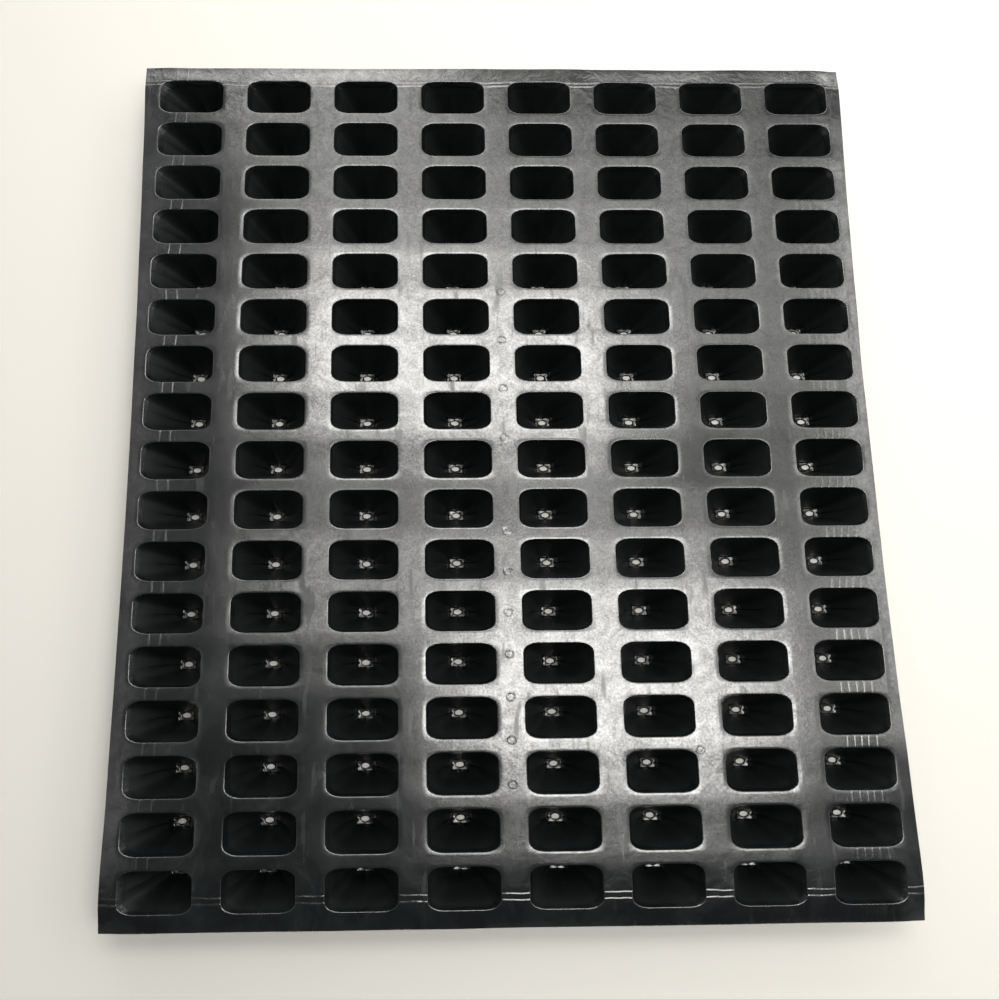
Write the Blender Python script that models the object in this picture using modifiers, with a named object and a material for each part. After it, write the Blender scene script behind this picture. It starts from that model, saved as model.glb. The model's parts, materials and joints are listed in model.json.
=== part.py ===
"""A plug tray: one thin formed plastic sheet with 8 columns and 17 rows of tapered cells.

The sheet is modelled in strips, so that each row of cells and each edge flange has a name.
Metres, +Z up, standing on its cell bottoms, with the origin below the middle of the tray.
"""

import bmesh
import bpy

# The cells: a grid of openings, each tapering to a small base with a drain hole.
COLUMNS = 8
ROWS = 17
PITCH_X = 0.0350
PITCH_Y = 0.0187
HEIGHT = 0.0195
SHEET = 0.0007

# Each section of a cell: its width and depth, and how far its corners are cut back.
OPENING = (0.0254, 0.0145)
OPENING_CORNER = (0.0040, 0.0024)
BASE = (0.0060, 0.0038)
BASE_CORNER = (0.0013, 0.0008)
DRAIN = (0.0037, 0.0024)
DRAIN_CORNER = (0.0011, 0.0007)

# The outline: nearly straight sides that bow outward towards the four corners.
EDGE_HALF_LENGTH = 0.1630
EDGE_HALF_WIDTH_MIDDLE = 0.1394
EDGE_HALF_WIDTH_END = 0.1415
CELLS_HALF_LENGTH = ROWS * PITCH_Y / 2
ROW_HALF_WIDTH = 0.1373
FLANGE_STEPS = 10
GAP = 0.0003

DECK_BLACK = (0.030, 0.032, 0.033)
FLANGE_BLACK = (0.021, 0.023, 0.024)
SEMI_GLOSS = 0.34


def clear_scene():
    for obj in list(bpy.data.objects):
        bpy.data.objects.remove(obj, do_unlink=True)


def plastic(name, colour):
    """Semi-gloss sheet plastic in the given near-black."""
    material = bpy.data.materials.new(name)
    material.use_nodes = True
    shader = material.node_tree.nodes["Principled BSDF"]
    shader.inputs["Base Color"].default_value = (*colour, 1.0)
    shader.inputs["Roughness"].default_value = SEMI_GLOSS
    shader.inputs["Metallic"].default_value = 0.0
    return material


def clipped_rectangle(size, corner):
    """Eight points round a rectangle whose corners are cut off, which stands for a rounded one."""
    half_x, half_y = size[0] / 2, size[1] / 2
    inner_x, inner_y = half_x - corner[0], half_y - corner[1]
    return [
        (half_x, -inner_y),
        (half_x, inner_y),
        (inner_x, half_y),
        (-inner_x, half_y),
        (-half_x, inner_y),
        (-half_x, -inner_y),
        (-inner_x, -half_y),
        (inner_x, -half_y),
    ]


def edge_loop(sheet, points):
    """A closed loop of edges through the points."""
    corners = [sheet.verts.new(point) for point in points]
    return [sheet.edges.new(pair) for pair in zip(corners, corners[1:] + corners[:1])]


def cell_loop(sheet, centre, size, corner, height):
    points = clipped_rectangle(size, corner)
    return edge_loop(sheet, [(centre[0] + x, centre[1] + y, height) for x, y in points])


def add_cell(sheet, centre):
    """Walls and base of one cell, open at the top and at the drain hole; returns the top loop."""
    floor = SHEET
    top = cell_loop(sheet, centre, OPENING, OPENING_CORNER, HEIGHT)
    base = cell_loop(sheet, centre, BASE, BASE_CORNER, floor)
    drain = cell_loop(sheet, centre, DRAIN, DRAIN_CORNER, floor)
    bmesh.ops.bridge_loops(sheet, edges=top + base)
    bmesh.ops.bridge_loops(sheet, edges=base + drain)
    return top


def edge_half_width(y):
    """Half the tray's width at this distance along it."""
    bow = (y / EDGE_HALF_LENGTH) ** 2
    return EDGE_HALF_WIDTH_MIDDLE + (EDGE_HALF_WIDTH_END - EDGE_HALF_WIDTH_MIDDLE) * bow


def sheet_object(name, sheet, material, collection):
    """The open surface made an object whose plastic lies below it and outside its cells."""
    bmesh.ops.recalc_face_normals(sheet, faces=sheet.faces)
    deck = max(sheet.faces, key=lambda face: abs(face.normal.z) * face.calc_center_median().z)
    if deck.normal.z < 0:
        bmesh.ops.reverse_faces(sheet, faces=sheet.faces)
    mesh = bpy.data.meshes.new(name)
    sheet.to_mesh(mesh)
    sheet.free()
    obj = bpy.data.objects.new(name, mesh)
    obj.data.materials.append(material)
    collection.objects.link(obj)
    wall = obj.modifiers.new("sheet_thickness", "SOLIDIFY")
    wall.thickness = SHEET
    wall.offset = -1.0
    wall.use_even_offset = True
    return obj


def add_cell_row(row, material, collection):
    """One strip across the tray: its deck and its eight cells, row 1 at the far end."""
    y = CELLS_HALF_LENGTH - (row + 0.5) * PITCH_Y
    far, near = y + (PITCH_Y - GAP) / 2, y - (PITCH_Y - GAP) / 2
    sheet = bmesh.new()
    deck_edges = edge_loop(
        sheet,
        [
            (-ROW_HALF_WIDTH, near, HEIGHT),
            (ROW_HALF_WIDTH, near, HEIGHT),
            (ROW_HALF_WIDTH, far, HEIGHT),
            (-ROW_HALF_WIDTH, far, HEIGHT),
        ],
    )
    for column in range(COLUMNS):
        x = (column - (COLUMNS - 1) / 2) * PITCH_X
        deck_edges += add_cell(sheet, (x, y))
    bmesh.ops.triangle_fill(sheet, use_beauty=True, edges=deck_edges)
    return sheet_object(f"cell_row_{row + 1:02d}", sheet, material, collection)


def grid_strip(steps_x, steps_y, place):
    """A flat grid at deck height, its corners placed by a function of (across, along), each 0 to 1."""
    sheet = bmesh.new()
    bmesh.ops.create_grid(sheet, x_segments=steps_x, y_segments=steps_y, size=0.5)
    for corner in sheet.verts:
        corner.co = (*place(corner.co.x + 0.5, corner.co.y + 0.5), HEIGHT)
    return sheet


def add_side_flange(name, side, material, collection):
    """The narrow strip outside the cells on the left (side -1) or the right (side +1)."""

    def place(across, along):
        y = (2 * along - 1) * (CELLS_HALF_LENGTH - GAP / 2)
        inner = ROW_HALF_WIDTH + GAP
        return side * (inner + across * (edge_half_width(y) - inner)), y

    return sheet_object(name, grid_strip(1, FLANGE_STEPS, place), material, collection)


def add_end_flange(name, end, material, collection):
    """The strip beyond the last row of cells at the front (end -1) or the back (end +1)."""

    def place(across, along):
        inner = CELLS_HALF_LENGTH + GAP / 2
        y = end * (inner + along * (EDGE_HALF_LENGTH - inner))
        return (2 * across - 1) * edge_half_width(y), y

    return sheet_object(name, grid_strip(1, 1, place), material, collection)


def build():
    clear_scene()
    tray = bpy.data.collections.new("plug_tray")
    bpy.context.scene.collection.children.link(tray)
    deck_plastic = plastic("black_cell_sheet", DECK_BLACK)
    flange_plastic = plastic("black_flange_sheet", FLANGE_BLACK)
    for row in range(ROWS):
        add_cell_row(row, deck_plastic, tray)
    add_side_flange("edge_flange_left", -1, flange_plastic, tray)
    add_side_flange("edge_flange_right", 1, flange_plastic, tray)
    add_end_flange("edge_flange_front", -1, flange_plastic, tray)
    add_end_flange("edge_flange_back", 1, flange_plastic, tray)


build()
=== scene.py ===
# %% [markdown]
# # A seedling plug tray
#
# A plug tray is one thin black sheet of plastic that was heated and sucked down over a mould. It has a flat
# deck, a grid of openings with softly rolled lips, and a tapered cell under each opening that ends in a
# small flat base with a drain hole. The measured model is loaded first and never changed: it says where
# every row of cells is, and all the sizes below start from it.

# %% Load the measured model
import json
import math

import bmesh
import bpy
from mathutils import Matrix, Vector, noise

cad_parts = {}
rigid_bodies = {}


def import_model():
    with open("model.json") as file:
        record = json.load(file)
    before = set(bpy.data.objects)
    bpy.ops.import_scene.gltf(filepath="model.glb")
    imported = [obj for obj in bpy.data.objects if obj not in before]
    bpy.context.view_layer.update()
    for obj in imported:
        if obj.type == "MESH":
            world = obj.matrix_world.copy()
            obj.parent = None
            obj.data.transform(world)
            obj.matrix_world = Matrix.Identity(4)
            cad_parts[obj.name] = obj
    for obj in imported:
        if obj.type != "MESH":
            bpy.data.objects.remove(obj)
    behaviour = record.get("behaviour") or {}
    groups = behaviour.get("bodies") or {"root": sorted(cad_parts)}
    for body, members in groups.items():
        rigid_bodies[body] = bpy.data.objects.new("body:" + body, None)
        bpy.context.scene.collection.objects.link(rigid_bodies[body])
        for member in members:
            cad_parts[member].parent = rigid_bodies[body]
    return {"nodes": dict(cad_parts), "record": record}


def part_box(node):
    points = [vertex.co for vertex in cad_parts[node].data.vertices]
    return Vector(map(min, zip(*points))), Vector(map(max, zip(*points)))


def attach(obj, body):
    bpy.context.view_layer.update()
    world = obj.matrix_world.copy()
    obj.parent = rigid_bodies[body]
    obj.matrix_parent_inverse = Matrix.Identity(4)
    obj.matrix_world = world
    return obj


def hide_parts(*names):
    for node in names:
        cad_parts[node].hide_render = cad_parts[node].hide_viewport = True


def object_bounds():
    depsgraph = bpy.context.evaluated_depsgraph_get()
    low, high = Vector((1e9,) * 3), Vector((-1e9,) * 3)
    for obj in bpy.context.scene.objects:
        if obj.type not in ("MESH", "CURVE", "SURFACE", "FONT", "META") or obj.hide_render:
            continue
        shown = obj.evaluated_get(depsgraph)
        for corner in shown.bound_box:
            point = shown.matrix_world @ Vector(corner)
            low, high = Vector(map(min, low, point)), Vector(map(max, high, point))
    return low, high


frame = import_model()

for startup in ("Cube", "Light", "Camera"):
    if startup in bpy.data.objects:
        bpy.data.objects.remove(bpy.data.objects[startup], do_unlink=True)
cad_low, cad_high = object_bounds()

print("measured model, metres:", [round(side, 4) for side in cad_high - cad_low])

# %% [markdown]
# ## The sizes that everything else uses
#
# The pitch of the rows is the distance between two row nodes. The pitch of the columns is the distance
# between two stated cells of one row. The deck height and the outline are sides of the model's box. Sizes
# that only the fine surface has, such as the radius of a lip, are chosen here.

# %% The grid of cells
MM = 0.001
COLUMNS = 8
ROW_NODES = sorted(name for name in frame["nodes"] if name.startswith("cell_row_"))
FLANGE_NODES = sorted(name for name in frame["nodes"] if name.startswith("edge_flange_"))


def middle_of(node):
    low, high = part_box(node)
    return (Vector(low) + Vector(high)) / 2


def stated_cell_x(row, column):
    boxes = {opening["name"]: opening["box_m"] for opening in frame["record"]["physics"]["openings"]}
    low, high = boxes[f"cell_row_{row:02d}_column_{column}"]
    return (low[0] + high[0]) / 2


PITCH_Y = middle_of(ROW_NODES[0]).y - middle_of(ROW_NODES[1]).y
PITCH_X = (stated_cell_x(1, 6) - stated_cell_x(1, 2)) / 4
DECK_Z = cad_high.z
HALF_LENGTH = cad_high.y
HALF_CELLS = len(ROW_NODES) * PITCH_Y / 2
print("pitch in mm:", round(PITCH_X / MM, 2), round(PITCH_Y / MM, 2), "rows:", len(ROW_NODES))

# %% Sizes of one cell, half widths as (across, along) the tray
LIP_HALF = (12.83 * MM, 7.38 * MM)
LIP_RADIUS = 0.28 * MM
LIP_CORNER = (5.6 * MM, 3.4 * MM)
BASE_HALF = (2.85 * MM, 1.75 * MM)
DRAIN_HALF = (1.50 * MM, 0.92 * MM)
DRAIN_ROLL = 0.40 * MM
SHEET = 0.5 * MM
BASE_Z = 0.70 * MM

# How near a place has to be to a line or a height to count as on it, when points are selected.
NEAR = 0.05 * MM
VERY_NEAR = 0.01 * MM
print("a cell tapers by", round((LIP_HALF[0] - BASE_HALF[0]) / MM, 2), "mm on each side")

# %% [markdown]
# ## Small helpers
#
# Blender's edit-mode tools act on whatever is selected. These helpers deselect everything and then select
# by place, which is what a hand with a mouse would do, so each later step reads like a modelling session.

# %% Selecting by place


def add_plane(name, half_x, half_y, height):
    """A plane at the world origin with its size and height in its mesh, left in edit mode."""
    bpy.ops.object.select_all(action="DESELECT")
    bpy.ops.mesh.primitive_plane_add(size=1, location=(0, 0, 0))
    piece = bpy.context.object
    piece.name = piece.data.name = name
    bpy.ops.object.mode_set(mode="EDIT")
    bpy.ops.mesh.select_mode(type="VERT")
    bpy.ops.transform.resize(value=(2 * half_x, 2 * half_y, 1), center_override=(0, 0, 0))
    bpy.ops.transform.translate(value=(0, 0, height))
    return piece


def choose(piece, test, kind="verts"):
    """Selects only the corners, edges or faces whose middle passes the test."""
    bpy.ops.mesh.select_mode(type={"verts": "VERT", "edges": "EDGE", "faces": "FACE"}[kind])
    bpy.ops.mesh.select_all(action="DESELECT")
    shape = bmesh.from_edit_mesh(piece.data)
    for item in getattr(shape, kind):
        if kind == "verts":
            place = item.co
        else:
            place = sum((corner.co for corner in item.verts), Vector()) / len(item.verts)
        item.select_set(bool(test(place)))
    shape.select_flush(True)
    bmesh.update_edit_mesh(piece.data)


def resize(x=1.0, y=1.0):
    bpy.ops.transform.resize(value=(x, y, 1), center_override=(0, 0, 0))


def extrude_ring(size_from, size_to, drop):
    """Extrudes the selected ring of edges, scales it from one half size to another and lowers it."""
    bpy.ops.mesh.extrude_edges_move()
    resize(size_to[0] / size_from[0], size_to[1] / size_from[1])
    bpy.ops.transform.translate(value=(0, 0, -drop))


def finish_piece(piece):
    bpy.ops.mesh.select_all(action="SELECT")
    bpy.ops.mesh.remove_doubles(threshold=VERY_NEAR)
    bpy.ops.mesh.normals_make_consistent(inside=False)
    bpy.ops.object.mode_set(mode="OBJECT")
    return piece


def apply_modifier(piece, kind, **settings):
    bpy.context.view_layer.objects.active = piece
    modifier = piece.modifiers.new(kind.lower(), kind)
    for key, value in settings.items():
        setattr(modifier, key, value)
    bpy.ops.object.modifier_apply(modifier=modifier.name)


# %% [markdown]
# ## One cell, modelled once
#
# The lip of an opening is a rounded rectangle whose corners are ovals, wider across the tray than along it.
# A square-ish plane gets round corners from a vertex bevel and is then stretched, which turns the round
# corners into ovals. The four sides are subdivided, because each wall has a faint rib down its middle and
# the rib needs its own line of points.

# %% The opening's outline
CORNER_STEPS = 4
SIDE_CUTS = 3
RIB_WIDTH = 0.34
STRAIGHT_SHARE = 0.9


def add_opening_outline():
    stretch = LIP_CORNER[0] / LIP_CORNER[1]
    cell = add_plane("cell", LIP_HALF[0] / stretch, LIP_HALF[1], DECK_Z)
    bpy.ops.mesh.select_all(action="SELECT")
    bpy.ops.mesh.bevel(offset=LIP_CORNER[1], segments=CORNER_STEPS, affect="VERTICES")
    resize(stretch, 1)
    side_x, side_y = LIP_HALF[0] - NEAR, LIP_HALF[1] - NEAR
    choose(cell, lambda at: abs(at.x) > side_x or abs(at.y) > side_y, "edges")
    bpy.ops.mesh.subdivide(number_cuts=SIDE_CUTS)
    straight_x, straight_y = LIP_HALF[0] - LIP_CORNER[0], LIP_HALF[1] - LIP_CORNER[1]
    choose(cell, lambda at: abs(at.y) > side_y and abs(at.x) < STRAIGHT_SHARE * straight_x)
    resize(RIB_WIDTH, 1)
    choose(cell, lambda at: abs(at.x) > side_x and abs(at.y) < STRAIGHT_SHARE * straight_y)
    resize(1, RIB_WIDTH)
    bpy.ops.mesh.select_all(action="SELECT")
    bpy.ops.mesh.delete(type="ONLY_FACE")
    return cell


cell = add_opening_outline()
print("points round an opening:", len(bmesh.from_edit_mesh(cell.data).verts))

# %% [markdown]
# The deck round the opening is a tile of one pitch by one pitch. A plane of the tile's size is subdivided
# until its border has as many points as the opening, its face is deleted, and the two rings are bridged.
# Every tile has the same points on its border, so the tiles weld together without a seam.

# %% The tile of deck round the opening
RINGS_ON_DECK = 2
BORDER_CUTS = CORNER_STEPS + SIDE_CUTS


def add_deck_tile(cell):
    bpy.ops.mesh.select_all(action="DESELECT")
    bpy.ops.mesh.primitive_plane_add(size=1, location=(0, 0, 0))
    bpy.ops.transform.resize(value=(PITCH_X, PITCH_Y, 1), center_override=(0, 0, 0))
    bpy.ops.transform.translate(value=(0, 0, DECK_Z))
    bpy.ops.mesh.delete(type="ONLY_FACE")
    border_x, border_y = PITCH_X / 2 - 2 * NEAR, PITCH_Y / 2 - 2 * NEAR
    choose(cell, lambda at: abs(at.x) > border_x or abs(at.y) > border_y, "edges")
    bpy.ops.mesh.subdivide(number_cuts=BORDER_CUTS)
    choose(cell, lambda at: True, "edges")
    bpy.ops.mesh.bridge_edge_loops(number_cuts=RINGS_ON_DECK, interpolation="LINEAR")


add_deck_tile(cell)
print("faces of one deck tile:", len(bmesh.from_edit_mesh(cell.data).faces))

# %% [markdown]
# The lip rolls down from the deck in most of a quarter circle, and the wall goes on from it in rings that
# shrink towards the base. On the way down, the middle of each side is pulled in by a growing amount, which
# makes the rib and gives the small base its pinched sides and its four round lobes. The last rings are the
# flat base and the edge of the drain hole, which is turned into an oval by the to-sphere tool.

# %% Lip, walls, base and drain
LIP_STEPS = 3
LIP_TURN = math.radians(72)
LIP_SLACK = 0.02 * MM
RING_SLACK = 0.004 * MM
WALL_STEPS = (0.10, 0.30, 0.52, 0.74, 0.90)
WALL_FOOT = 1.12
RIB_PULL = 0.30
SHORT_SIDE_RIB = 0.7
BASE_ROUND = 0.40 * MM
CORNER_PUSH = 0.09
DIAGONAL_SLACK = 0.05

# The rings that round the wall into the base: how wide against the base, and how high above it.
BASE_RINGS = ((1.10, 0.30 * MM), (1.0, 0.06 * MM), (0.90, 0.0))

# The drain's edge rolls down in two steps: how far in the first one ends, and how far down.
FIRST_ROLL_IN = 0.6
FIRST_ROLL_DOWN = 0.35


def ring_test(height):
    return lambda at: abs(at.z - height) < RING_SLACK


def between(top, bottom, share):
    return tuple(a + (b - a) * share for a, b in zip(top, bottom))


def roll_lip(cell):
    """Rolls the lip down from the deck; returns the half size and the height that it ends at."""
    size, height = LIP_HALF, DECK_Z
    lip_x, lip_y = LIP_HALF[0] + LIP_SLACK, LIP_HALF[1] + LIP_SLACK
    choose(cell, lambda at: abs(at.x) < lip_x and abs(at.y) < lip_y)
    for step in range(1, LIP_STEPS + 1):
        angle = LIP_TURN * step / LIP_STEPS
        inward = LIP_RADIUS * math.sin(angle)
        new_size = (LIP_HALF[0] - inward, LIP_HALF[1] - inward)
        new_height = DECK_Z - LIP_RADIUS * (1 - math.cos(angle))
        extrude_ring(size, new_size, height - new_height)
        size, height = new_size, new_height
    print("the lip stands in by", round((LIP_HALF[0] - size[0]) / MM, 3), "mm")
    return size, height


def pull_ribs(cell, height, pull):
    """Pulls in the four middle points of the ring at this height, then selects the whole ring again."""
    at_ring = ring_test(height)
    choose(cell, lambda at: at_ring(at) and abs(at.x) < VERY_NEAR)
    resize(1, 1 - pull)
    choose(cell, lambda at: at_ring(at) and abs(at.y) < VERY_NEAR)
    resize(1 - SHORT_SIDE_RIB * pull, 1)
    choose(cell, at_ring)


def sharpen_corners(cell, height, size, amount):
    """Pushes out the point on each diagonal of a ring, which turns round corners into crisp ones."""
    at_ring = ring_test(height)

    def on_diagonal(at):
        return abs(abs(at.x) / size[0] - abs(at.y) / size[1]) < DIAGONAL_SLACK

    choose(cell, lambda at: at_ring(at) and on_diagonal(at))
    resize(1 + amount, 1 + amount)
    choose(cell, at_ring)


def sink_walls(cell, size, height):
    top_size, top_height, pulled = size, height, 0.0
    foot_size = (BASE_HALF[0] * WALL_FOOT, BASE_HALF[1] * WALL_FOOT)
    for share in WALL_STEPS:
        new_size = between(top_size, foot_size, share)
        new_height = top_height + (BASE_Z + BASE_ROUND - top_height) * share
        extrude_ring(size, new_size, height - new_height)
        wanted = RIB_PULL * share ** 2
        pull_ribs(cell, new_height, 1 - (1 - wanted) / (1 - pulled))
        size, height, pulled = new_size, new_height, wanted
    sharpen_corners(cell, height, size, CORNER_PUSH)
    return size, height


def close_base(size, height):
    for scale, above in BASE_RINGS:
        new_size = (BASE_HALF[0] * scale, BASE_HALF[1] * scale)
        extrude_ring(size, new_size, height - BASE_Z - above)
        size, height = new_size, BASE_Z + above
    return size, height


def open_drain(cell):
    """An oval hole whose edge is rolled down, so that a dark ring shows round it."""
    bpy.ops.mesh.extrude_edges_move()
    bpy.ops.transform.tosphere(value=1)
    shape = bmesh.from_edit_mesh(cell.data)
    ring = [corner.co for corner in shape.verts if corner.select]
    radius = sum(math.hypot(at.x, at.y) for at in ring) / len(ring)
    rim = (DRAIN_HALF[0] + DRAIN_ROLL, DRAIN_HALF[1] + DRAIN_ROLL)
    resize(rim[0] / radius, rim[1] / radius)
    middle = (rim[0] - FIRST_ROLL_IN * DRAIN_ROLL, rim[1] - FIRST_ROLL_IN * DRAIN_ROLL)
    extrude_ring(rim, middle, FIRST_ROLL_DOWN * DRAIN_ROLL)
    extrude_ring(middle, DRAIN_HALF, (1 - FIRST_ROLL_DOWN) * DRAIN_ROLL)
    print("drain ring has", len(ring), "points")


size, height = roll_lip(cell)
SEAM_Z = height
size, height = sink_walls(cell, size, height)
size, height = close_base(size, height)
open_drain(cell)
finish_piece(cell)
print("faces of one whole cell:", len(cell.data.polygons), "seam at", round(SEAM_Z / MM, 2), "mm")

# %% [markdown]
# ## The sheet is folded and wavy
#
# A formed sheet this thin never lies quite flat. It bends down a little beyond a fold line at each end, its
# cut edges flutter, and the deck between has long shallow waves. One function gives how far the sheet lies
# below a flat deck at any place, so that the deck and the cells under it always move together. It only ever
# lowers the sheet, and the cups that lean do so inward, which keeps every piece inside the measured model's
# box.

# %% How far the sheet lies below a flat deck
MIDDLE_SAG = 0.8 * MM
WAVE_DEPTH = 0.30 * MM
WAVE_LENGTH = 70 * MM
WAVE_SLICE = 0.3
FLUTTER_DEPTH = 0.75 * MM
FLUTTER_LENGTH = 24 * MM
FLUTTER_REACH = 9 * MM
FLUTTER_SLICE = 5.7
FOLD_BACK_Y = 154.6 * MM
FOLD_FRONT_Y = -151.5 * MM
FOLD_SLOPE = 0.05
ROLL_FRONT_Y = -143 * MM
ROLL_DEPTH = 1.6 * MM
ROLL_CURVE = 1.6
CORNER_CURL = 0.7 * MM
CORNER_REACH = 11 * MM
LEFT_LEAN = 3.2 * MM
FRONT_LEAN = 2.6 * MM

# How far each long edge is from the middle line, halfway along and at its ends.
LEFT_EDGE = (139.6 * MM, 141.48 * MM)
RIGHT_EDGE = (138.7 * MM, 141.3 * MM)


def edge_x(side, y):
    """The deck's long edge, bowed in along its middle, a little more on the right."""
    middle, end = LEFT_EDGE if side < 0 else RIGHT_EDGE
    return side * (middle + (end - middle) * (y / HALF_LENGTH) ** 2)


def soft_step(value):
    value = min(max(value, 0.0), 1.0)
    return value * value * (3 - 2 * value)


def sag(x, y):
    wave = 0.5 + 0.5 * noise.noise(Vector((x, y, WAVE_SLICE)) / WAVE_LENGTH)
    middle = 1 - (y / HALF_LENGTH) ** 2
    to_side = abs(edge_x(math.copysign(1, x), y) - x)
    to_edge = min(to_side, HALF_LENGTH - abs(y))
    near_edge = 1 - soft_step(to_edge / FLUTTER_REACH)
    flutter = 0.5 + 0.5 * noise.noise(Vector((x, y, FLUTTER_SLICE)) / FLUTTER_LENGTH)
    past_fold = max(y - FOLD_BACK_Y, FOLD_FRONT_Y - y, 0.0)
    roll = max(ROLL_FRONT_Y - y, 0.0) / (HALF_LENGTH + ROLL_FRONT_Y)
    curl = CORNER_CURL * (1 - soft_step(math.hypot(to_side, HALF_LENGTH - abs(y)) / CORNER_REACH))
    depth = MIDDLE_SAG * middle + WAVE_DEPTH * wave + FLUTTER_DEPTH * flutter * near_edge
    return depth + FOLD_SLOPE * past_fold + ROLL_DEPTH * roll ** ROLL_CURVE + curl


def lean(x, y):
    """How far the bottom of a cup swings in, where it hangs from the drooping left or front margin."""
    in_left_column = x < (1 - COLUMNS / 2) * PITCH_X
    in_front_row = y < PITCH_Y - HALF_CELLS
    return Vector((LEFT_LEAN * in_left_column, FRONT_LEAN * in_front_row, 0))


def bend_sheet(piece):
    """Lowers each point by the sag above it, less towards the cell bottoms, and leans the outer cups."""
    for corner in piece.data.vertices:
        share = min(max((corner.co.z - BASE_Z) / (DECK_Z - BASE_Z), 0.0), 1.0)
        below_seam = min(max((SEAM_Z - corner.co.z) / (SEAM_Z - BASE_Z), 0.0), 1.0)
        drop = sag(corner.co.x, corner.co.y) * share
        corner.co += lean(corner.co.x, corner.co.y) * below_seam
        corner.co.z -= drop


print("sag in mm at the middle and at a front corner:",
      round(sag(0, 0) / MM, 2), round(sag(cad_high.x, -HALF_LENGTH) / MM, 2))

# %% [markdown]
# ## The deck
#
# The lip and the deck tile are split from the cell. Two arrays lay the tile out in 8 columns and 17 rows
# and weld the borders. The margins beyond the last cells are then extruded from the border, the two long
# sides are set on their slightly bowed outline, and both ends are subdivided, because a fold needs more
# points than a flat deck.

# %% Splitting the cell into deck tile and cup
BORDER_MERGE = 0.02 * MM


def split_cell(cell):
    bpy.context.view_layer.objects.active = cell
    bpy.ops.object.mode_set(mode="EDIT")
    choose(cell, lambda at: at.z < SEAM_Z - VERY_NEAR, "faces")
    before = set(bpy.data.objects)
    bpy.ops.mesh.separate(type="SELECTED")
    bpy.ops.object.mode_set(mode="OBJECT")
    cup = (set(bpy.data.objects) - before).pop()
    cell.name, cup.name = "deck_sheet", "cell_cups_row"
    return cell, cup


def lay_out(piece, count, step_x, step_y, weld):
    """Copies the piece count times by one step, centred on the tray."""
    apply_modifier(
        piece, "ARRAY", count=count, use_relative_offset=False, use_constant_offset=True,
        constant_offset_displace=(step_x, step_y, 0), use_merge_vertices=weld, merge_threshold=BORDER_MERGE,
    )
    for corner in piece.data.vertices:
        corner.co.x -= step_x * (count - 1) / 2
        corner.co.y -= step_y * (count - 1) / 2


deck, cup = split_cell(cell)
lay_out(deck, COLUMNS, PITCH_X, 0, weld=True)
lay_out(deck, len(ROW_NODES), 0, PITCH_Y, weld=True)
lay_out(cup, COLUMNS, PITCH_X, 0, weld=False)
print("deck faces:", len(deck.data.polygons), "faces of a row of cups:", len(cup.data.polygons))

# %% Margins, bowed sides and finer ends
FLANGE_STEPS = 3
END_INSET = 0.05 * MM
FINE_FROM = 3 * MM


def extrude_margin(deck, end):
    edge = end * HALF_CELLS
    step = end * (HALF_LENGTH - HALF_CELLS - END_INSET) / FLANGE_STEPS
    choose(deck, lambda at: abs(at.y - edge) < NEAR, "edges")
    for _ in range(FLANGE_STEPS):
        bpy.ops.mesh.extrude_edges_move()
        bpy.ops.transform.translate(value=(0, step, 0))


def finish_deck_outline(deck):
    bpy.context.view_layer.objects.active = deck
    bpy.ops.object.mode_set(mode="EDIT")
    extrude_margin(deck, 1)
    extrude_margin(deck, -1)
    first_row_middle = HALF_CELLS - PITCH_Y / 2
    choose(deck, lambda at: abs(at.y) > first_row_middle + FINE_FROM, "faces")
    bpy.ops.mesh.subdivide(number_cuts=1)
    finish_piece(deck)
    flat_edge = COLUMNS * PITCH_X / 2
    for corner in deck.data.vertices:
        if abs(abs(corner.co.x) - flat_edge) < NEAR:
            corner.co.x = edge_x(math.copysign(1, corner.co.x), corner.co.y)


finish_deck_outline(deck)
print("deck faces with margins:", len(deck.data.polygons))

# %% [markdown]
# ## Thickness
#
# So far the sheet has no thickness. Each piece is bent while it is still one open surface, and then
# Solidify grows the plastic away from the side that is seen from above. Normals are made consistent on the
# open surface before that, and pointed up, because on a closed shell the check would turn the inner wall
# round.

# %% Deck with thickness
SMOOTH_BELOW = math.radians(50)


def point_up(piece):
    """Makes the open sheet's faces agree, and turns them all over if they look down."""
    bpy.ops.object.select_all(action="DESELECT")
    piece.select_set(True)
    bpy.context.view_layer.objects.active = piece
    bpy.ops.object.mode_set(mode="EDIT")
    bpy.ops.mesh.select_all(action="SELECT")
    bpy.ops.mesh.normals_make_consistent(inside=False)
    bpy.ops.object.mode_set(mode="OBJECT")
    if sum(face.normal.z * face.area for face in piece.data.polygons) < 0:
        bpy.ops.object.mode_set(mode="EDIT")
        bpy.ops.mesh.flip_normals()
        bpy.ops.object.mode_set(mode="OBJECT")


def thicken(piece):
    point_up(piece)
    apply_modifier(piece, "SOLIDIFY", thickness=SHEET, offset=-1)
    bpy.ops.object.shade_smooth_by_angle(angle=SMOOTH_BELOW)


bend_sheet(deck)
thicken(deck)
print("deck triangles:", sum(len(face.vertices) - 2 for face in deck.data.polygons))

# %% The 17 rows of cups, each its own mesh


def add_cup_row(number, node):
    row = cup.copy()
    row.data = cup.data.copy()
    row.name = row.data.name = f"cell_cups_row_{number:02d}"
    bpy.context.collection.objects.link(row)
    y = middle_of(node).y
    for corner in row.data.vertices:
        corner.co.y += y
    bend_sheet(row)
    thicken(row)
    return row


cup_rows = [add_cup_row(number, node) for number, node in enumerate(ROW_NODES, 1)]
bpy.data.objects.remove(cup, do_unlink=True)
print("rows of cups:", len(cup_rows), "triangles each:",
      sum(len(face.vertices) - 2 for face in cup_rows[0].data.polygons))

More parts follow.
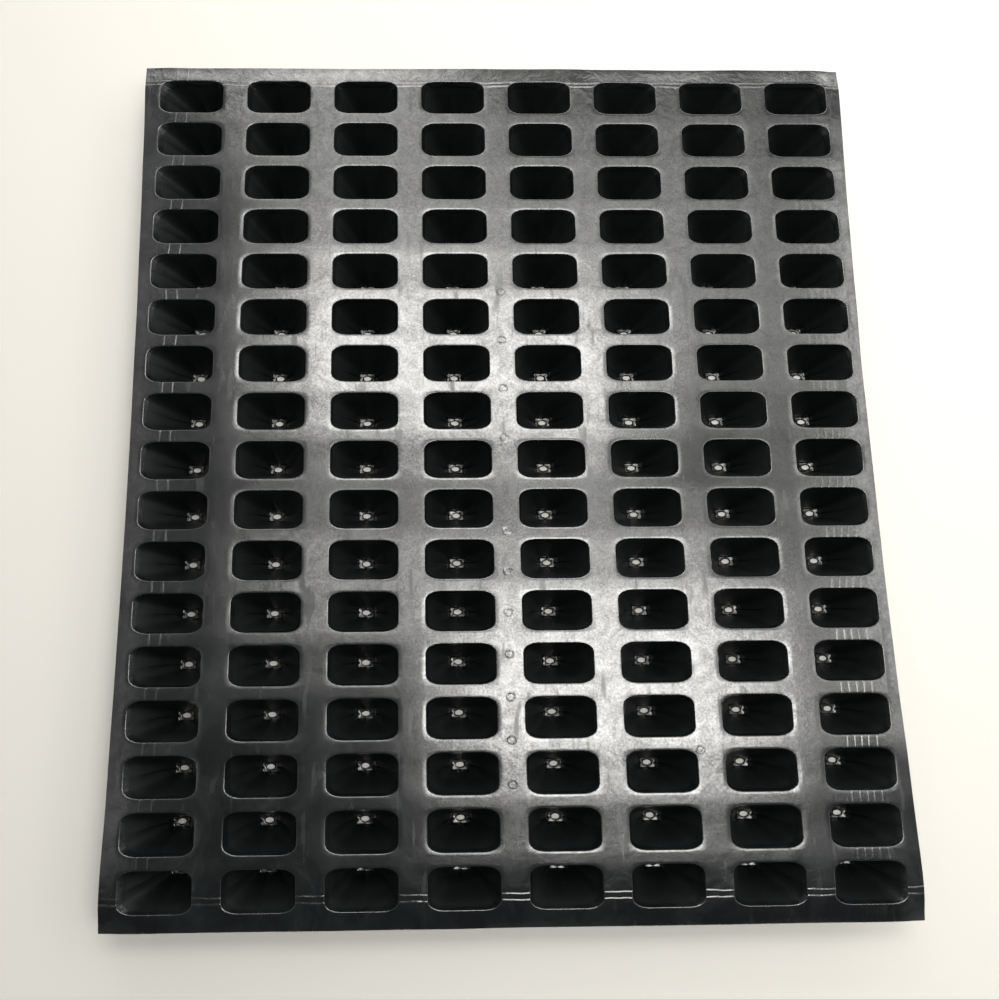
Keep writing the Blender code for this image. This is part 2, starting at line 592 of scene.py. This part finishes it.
# %% Every piece stands for its part of the measured model
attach(deck, "root")
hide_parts(*FLANGE_NODES, *ROW_NODES)
for row, node in zip(cup_rows, ROW_NODES):
    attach(row, "root")
    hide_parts(node)

# %% [markdown]
# ## The plastic
#
# The finish is black polystyrene with a skin that came off a warm mould: half glossy, with a fine pebbled
# grain, a blotchy gloss, smoky smears and long scuffs, creases near the folds and a crumple at both ends.
# The cups are the same plastic but duller, because it was stretched furthest there. Their walls also get a
# darker colour, which is painted shade inside the cells. A small class lets the shader's maths be written
# as
# Python sums, and every other node comes from one method.

# %% Shader maths as Python


class Signal:
    """A number in a material's node tree, with Python's operators."""

    def __init__(self, tree, socket):
        self.tree, self.socket = tree, socket

    def _math(self, operation, first, second=None, clamp=False):
        node = self.tree.nodes.new("ShaderNodeMath")
        node.operation, node.use_clamp = operation, clamp
        for slot, value in zip(node.inputs, (first, second)):
            if isinstance(value, Signal):
                self.tree.links.new(value.socket, slot)
            elif value is not None:
                slot.default_value = value
        return Signal(self.tree, node.outputs[0])

    def __add__(self, other):
        return self._math("ADD", self, other)

    def __radd__(self, other):
        return self._math("ADD", other, self)

    def __sub__(self, other):
        return self._math("SUBTRACT", self, other)

    def __rsub__(self, other):
        return self._math("SUBTRACT", other, self)

    def __mul__(self, other):
        return self._math("MULTIPLY", self, other)

    def __rmul__(self, other):
        return self._math("MULTIPLY", other, self)

    def __truediv__(self, other):
        return self._math("DIVIDE", self, other)

    def __pow__(self, other):
        return self._math("POWER", self, other)

    def __abs__(self):
        return self._math("ABSOLUTE", self)

    def clamp(self):
        return self._math("ADD", self, 0.0, clamp=True)

    def cosine(self):
        return self._math("COSINE", self)

    def above(self, other):
        return self._math("GREATER_THAN", self, other)


class Finish:
    """One material under construction."""

    def __init__(self, name):
        self.material = bpy.data.materials.new(name)
        self.material.use_nodes = True
        self.tree = self.material.node_tree
        self.shader = self.tree.nodes["Principled BSDF"]

    def node(self, kind, settings=None, inputs=None, output=0):
        node = self.tree.nodes.new(kind)
        for key, value in (settings or {}).items():
            setattr(node, key, value)
        for key, value in (inputs or {}).items():
            self.feed(node.inputs[key], value)
        return Signal(self.tree, node.outputs[output])

    def feed(self, slot, value):
        if isinstance(value, Signal):
            self.tree.links.new(value.socket, slot)
        else:
            slot.default_value = value

    def set(self, **inputs):
        for key, value in inputs.items():
            self.feed(self.shader.inputs[key.replace("_", " ")], value)

    def place(self):
        """The Object coordinates, and their three numbers."""
        where = self.node("ShaderNodeTexCoord", output=3)
        split = self.tree.nodes.new("ShaderNodeSeparateXYZ")
        self.feed(split.inputs[0], where)
        return where, [Signal(self.tree, socket) for socket in split.outputs]

    def noise(self, where, size, detail=2.0, distortion=0.0, roughness=0.5):
        """Noise from 0 to 1 whose features are about this size in metres."""
        inputs = {"Vector": where, "Scale": 1 / size, "Detail": detail,
                  "Distortion": distortion, "Roughness": roughness}
        return self.node("ShaderNodeTexNoise", {"noise_dimensions": "3D"}, inputs)

    def mix_colour(self, factor, first, second):
        node = self.tree.nodes.new("ShaderNodeMix")
        node.data_type = "RGBA"
        self.feed(node.inputs[0], factor)
        self.feed(node.inputs[6], (*first, 1.0))
        self.feed(node.inputs[7], (*second, 1.0))
        return Signal(self.tree, node.outputs[2])


# %% [markdown]
# Creases are narrow ridges in the bump: a ridge is one minus the distance to its line over its half width,
# cut off at nothing. Each pair of creases follows a fold line across the webs of the first and the last
# row, short ticks cross the narrow webs of the two outer columns, and a line of round vent marks runs down
# the middle web, where the mould drew the air out.

# %% Black plastic
PEBBLE = 0.75 * MM
GRAIN = 0.85 * MM
PEBBLE_DEPTH = 0.013 * MM
RIPPLE = 4.0 * MM
RIPPLE_DEPTH = 0.050 * MM
SMEAR = 30 * MM
MOTTLE = 7.5 * MM
SCUFF = 3.2 * MM
SCUFF_STRETCH = 0.16
WANDER = 9 * MM
CREASE_DEPTH = 0.12 * MM
CREASE_HALF_WIDTH = 0.42 * MM
FOLD_WANDER = 1.6 * MM
TICK_WANDER = 1.5 * MM
TICK_SHARE = 0.4
CRUMPLE = 6.5 * MM
CRUMPLE_DEPTH = 0.22 * MM
CRUMPLE_FROM_Y = 136 * MM
CRUMPLE_REACH = 16 * MM
VENT_RADIUS = 1.5 * MM
VENT_DEPTH = 0.10 * MM
QUILT_DEPTH = 0.045 * MM
DECK_BAND = 3.2 * MM
WALL_MIDDLE_Z = 9.5 * MM
WALL_HALF = 7.6 * MM
WALL_FADE = 1.2 * MM
DEEP_BLACK = (0.0022, 0.0030, 0.0032)
WORN_BLACK = (0.0090, 0.0112, 0.0112)


def ridge(distance, half_width):
    return (1 - abs(distance) / half_width).clamp()


def fold_creases(y, wander):
    """Two fine creases side by side near each fold, the same strength all along; they show on the deck's
    webs.
    """
    total = 0
    for line, apart in ((FOLD_BACK_Y, 1.7 * MM), (FOLD_FRONT_Y, -2.1 * MM)):
        for step in (0, 1):
            total = total + ridge(y - (line + step * apart) + wander * FOLD_WANDER, CREASE_HALF_WIDTH)
    return total


def column_ticks(x, wander):
    """Short upright ticks on the webs of the two outer columns, more of them on the right."""
    total = 0
    outer = (COLUMNS - 1) / 2 * PITCH_X
    for side, offsets in ((-1, (2.2, 6.3)), (1, (-3.7, -0.9, 1.8, 4.3, 7.2))):
        for offset in offsets:
            from_line = x - side * (outer + offset * MM) + wander * TICK_WANDER
            total = total + ridge(from_line, CREASE_HALF_WIDTH)
    return total


def vent_marks(x, y):
    """Round marks down the middle web, closer together in the front half, and one more to the right."""
    total = 0
    places = [(0.0, 66 * MM - 19.3 * MM * step) for step in range(4)]
    places += [(0.0, -27 * MM - 14.8 * MM * step) for step in range(7)]
    places += [(66.3 * MM, -105 * MM)]
    for place_x, place_y in places:
        across = (x - place_x) / (1.1 * VENT_RADIUS)
        along = (y - place_y) / VENT_RADIUS
        from_middle = (across * across + along * along) ** 0.5
        total = total + ridge(from_middle - 0.85, 0.30) + 0.5 * (1 - from_middle).clamp()
    return total


def black_plastic(name, gloss):
    finish = Finish(name)
    where, (x, y, z) = finish.place()
    pebble = finish.noise(where, PEBBLE, detail=3.0, roughness=0.65)
    ripple = finish.noise(where, RIPPLE, detail=2.0, distortion=0.4)
    smear = finish.noise(where, SMEAR, detail=4.0, distortion=1.6, roughness=0.6)
    wander = finish.noise(where, WANDER, detail=1.0) - 0.5
    on_deck = (z - (DECK_Z - DECK_BAND)).above(0.0)
    on_wall = ((WALL_HALF - abs(z - WALL_MIDDLE_Z)) / WALL_FADE).clamp()
    marks = (fold_creases(y, wander) + TICK_SHARE * column_ticks(x, wander)) * CREASE_DEPTH
    marks = marks + vent_marks(x, y) * VENT_DEPTH
    quilt = (x * (2 * math.pi / PITCH_X)).cosine() - (y * (2 * math.pi / PITCH_Y)).cosine()
    crumple = finish.noise(where, CRUMPLE, detail=3.0, distortion=1.3, roughness=0.55)
    at_end = ((abs(y) - CRUMPLE_FROM_Y) / CRUMPLE_REACH).clamp()
    marks = marks + crumple * at_end * CRUMPLE_DEPTH
    height = pebble * PEBBLE_DEPTH + ripple * RIPPLE_DEPTH + (marks + quilt * QUILT_DEPTH) * on_deck
    normal = finish.node("ShaderNodeBump", inputs={"Strength": 1.0, "Distance": 1.0, "Height": height})
    wear = ((smear - 0.42) * 2.2).clamp()
    grain = finish.noise(where, GRAIN, detail=2.0, roughness=0.7)
    mottle = finish.noise(where, MOTTLE, detail=4.0, distortion=1.8, roughness=0.6) - 0.5
    along = finish.node("ShaderNodeCombineXYZ", inputs={"X": x, "Y": y * SCUFF_STRETCH, "Z": z})
    scuff = ((finish.noise(along, SCUFF, detail=2.0) - 0.60) * 9).clamp() * on_deck
    gleam = 0.55 + (grain - 0.5) * 2.2 + 2.0 * mottle
    finish.set(
        # The walls keep under a third of the lighter smeared tone: painted shade that darkens the cells
        # inside.
        Base_Color=finish.mix_colour(wear * (1 - 0.7 * on_wall), DEEP_BLACK, WORN_BLACK),
        Roughness=0.17 + 0.10 * wear + 0.08 * pebble + 0.26 * on_wall + 0.10 * scuff - 0.12 * mottle,
        Specular_IOR_Level=gloss,
        Coat_Weight=(gleam - 0.3 * wear - 0.5 * scuff - 1.2 * on_wall).clamp(),
        Coat_Roughness=0.20,
        Normal=normal,
    )
    return finish.material


deck_plastic = black_plastic("black_deck_plastic", gloss=0.70)
cup_plastic = black_plastic("black_cup_plastic", gloss=0.22)
for piece in [deck, *cup_rows]:
    piece.data.materials.clear()
    piece.data.materials.append(deck_plastic if piece == deck else cup_plastic)
print("finish nodes:", len(deck_plastic.node_tree.nodes))

# %% [markdown]
# ## Floor, light and camera
#
# The tray stands on a plain pale floor. The black deck is seen mostly by what it mirrors, so the soft
# panels hang where the deck reflects them: two bright ones with a dimmer one between them, which show as a
# slanting band of light, and four wide dim ones that grey the back, the right and the left edge. No panel
# hangs over the front left, which leaves that part dark. Two more panels stand low behind the tray and on
# its right, and tilt towards it.

# %% Floor and panels
GLOW = (0.66, 0.65, 0.62)
CEILING = (0.045, 0.047, 0.050)
CEILING_FROM = 0.55
FLOOR_SIDE = 24
FLOOR_PAINT = (0.46, 0.45, 0.42, 1.0)
GLOW_FROM = 0.45
GLOW_REACH = 1.1
LAMP_WHITE = (1.0, 0.985, 0.955)


def add_floor():
    """A wide floor. Far from the tray it glows softly, as if lamps lit a studio's sweep."""
    bpy.ops.object.select_all(action="DESELECT")
    bpy.ops.mesh.primitive_plane_add(size=FLOOR_SIDE, location=(0, 0, 0))
    floor = bpy.context.object
    floor.name = "floor"
    paint = Finish("pale_floor")
    _, (x, y, _) = paint.place()
    far = (((x * x + y * y) ** 0.5 - GLOW_FROM) / GLOW_REACH).clamp()
    paint.set(
        Base_Color=FLOOR_PAINT,
        Roughness=0.9,
        Emission_Color=paint.mix_colour(far, (0.0, 0.0, 0.0), GLOW),
        Emission_Strength=1.0,
    )
    floor.data.materials.append(paint.material)


def add_room():
    """The room's light: pale along the horizon and dim overhead, so that the deck has little to mirror."""
    world = bpy.data.worlds.new("soft_room")
    world.use_nodes = True
    tree = world.node_tree
    where = tree.nodes.new("ShaderNodeTexCoord")
    height = tree.nodes.new("ShaderNodeSeparateXYZ")
    fade = tree.nodes.new("ShaderNodeValToRGB")
    tree.links.new(where.outputs["Generated"], height.inputs[0])
    tree.links.new(height.outputs["Z"], fade.inputs[0])
    tree.links.new(fade.outputs["Color"], tree.nodes["Background"].inputs["Color"])
    horizon, ceiling = fade.color_ramp.elements
    horizon.position, horizon.color = 0.0, (*GLOW, 1.0)
    ceiling.position, ceiling.color = CEILING_FROM, (*CEILING, 1.0)
    bpy.context.scene.world = world


def add_panel(name, centre, width, depth, glow, turn=0.0, tilt=0.0):
    """A soft panel that faces down, or tilts back from that. Glow is how bright its face looks."""
    light = bpy.data.lights.new(name, "AREA")
    light.shape = "RECTANGLE"
    light.size, light.size_y = width, depth
    light.energy = glow * math.pi * width * depth
    light.color = LAMP_WHITE
    panel = bpy.data.objects.new(name, light)
    panel.location = centre
    panel.rotation_euler = (math.radians(-tilt), 0, math.radians(turn))
    panel.visible_camera = False
    bpy.context.collection.objects.link(panel)


PANEL_Z = DECK_Z + 0.60
add_floor()
add_room()
add_panel("band_far", (0.019, 0.256, PANEL_Z), 0.400, 0.197, 12.4, turn=-7)
add_panel("band_near", (0.189, -0.119, PANEL_Z), 0.342, 0.192, 13.8)
add_panel("back_left", (-0.124, 0.838, PANEL_Z), 0.335, 0.619, 3.5)
add_panel("right_side", (0.710, 0.186, PANEL_Z), 0.501, 0.722, 4.0)
add_panel("between", (0.063, -0.001, PANEL_Z), 0.558, 0.120, 4.4)
add_panel("back_wide", (0.097, 0.379, PANEL_Z), 0.617, 0.394, 2.6)
add_panel("left_dim", (-0.591, 0.091, PANEL_Z), 0.426, 0.959, 0.8)
add_panel("low_back", (0.30, 1.90, 0.80), 2.60, 1.00, 3.6, tilt=65)
add_panel("low_right", (1.90, 0.20, 0.80), 2.40, 1.00, 1.6, turn=-90, tilt=65)
bpy.context.scene.view_settings.view_transform = "Standard"

# %% Camera
camera = bpy.data.objects.new("camera", bpy.data.cameras.new("camera"))
camera.data.lens = 27.51
camera.data.shift_x = 0.0702
camera.location = (-0.0335, -0.0620, DECK_Z + 0.2771)
camera.rotation_euler = (math.radians(9.553), math.radians(-0.986), math.radians(-0.498))
camera.data.clip_start = 0.01
bpy.context.collection.objects.link(camera)
bpy.context.scene.camera = camera
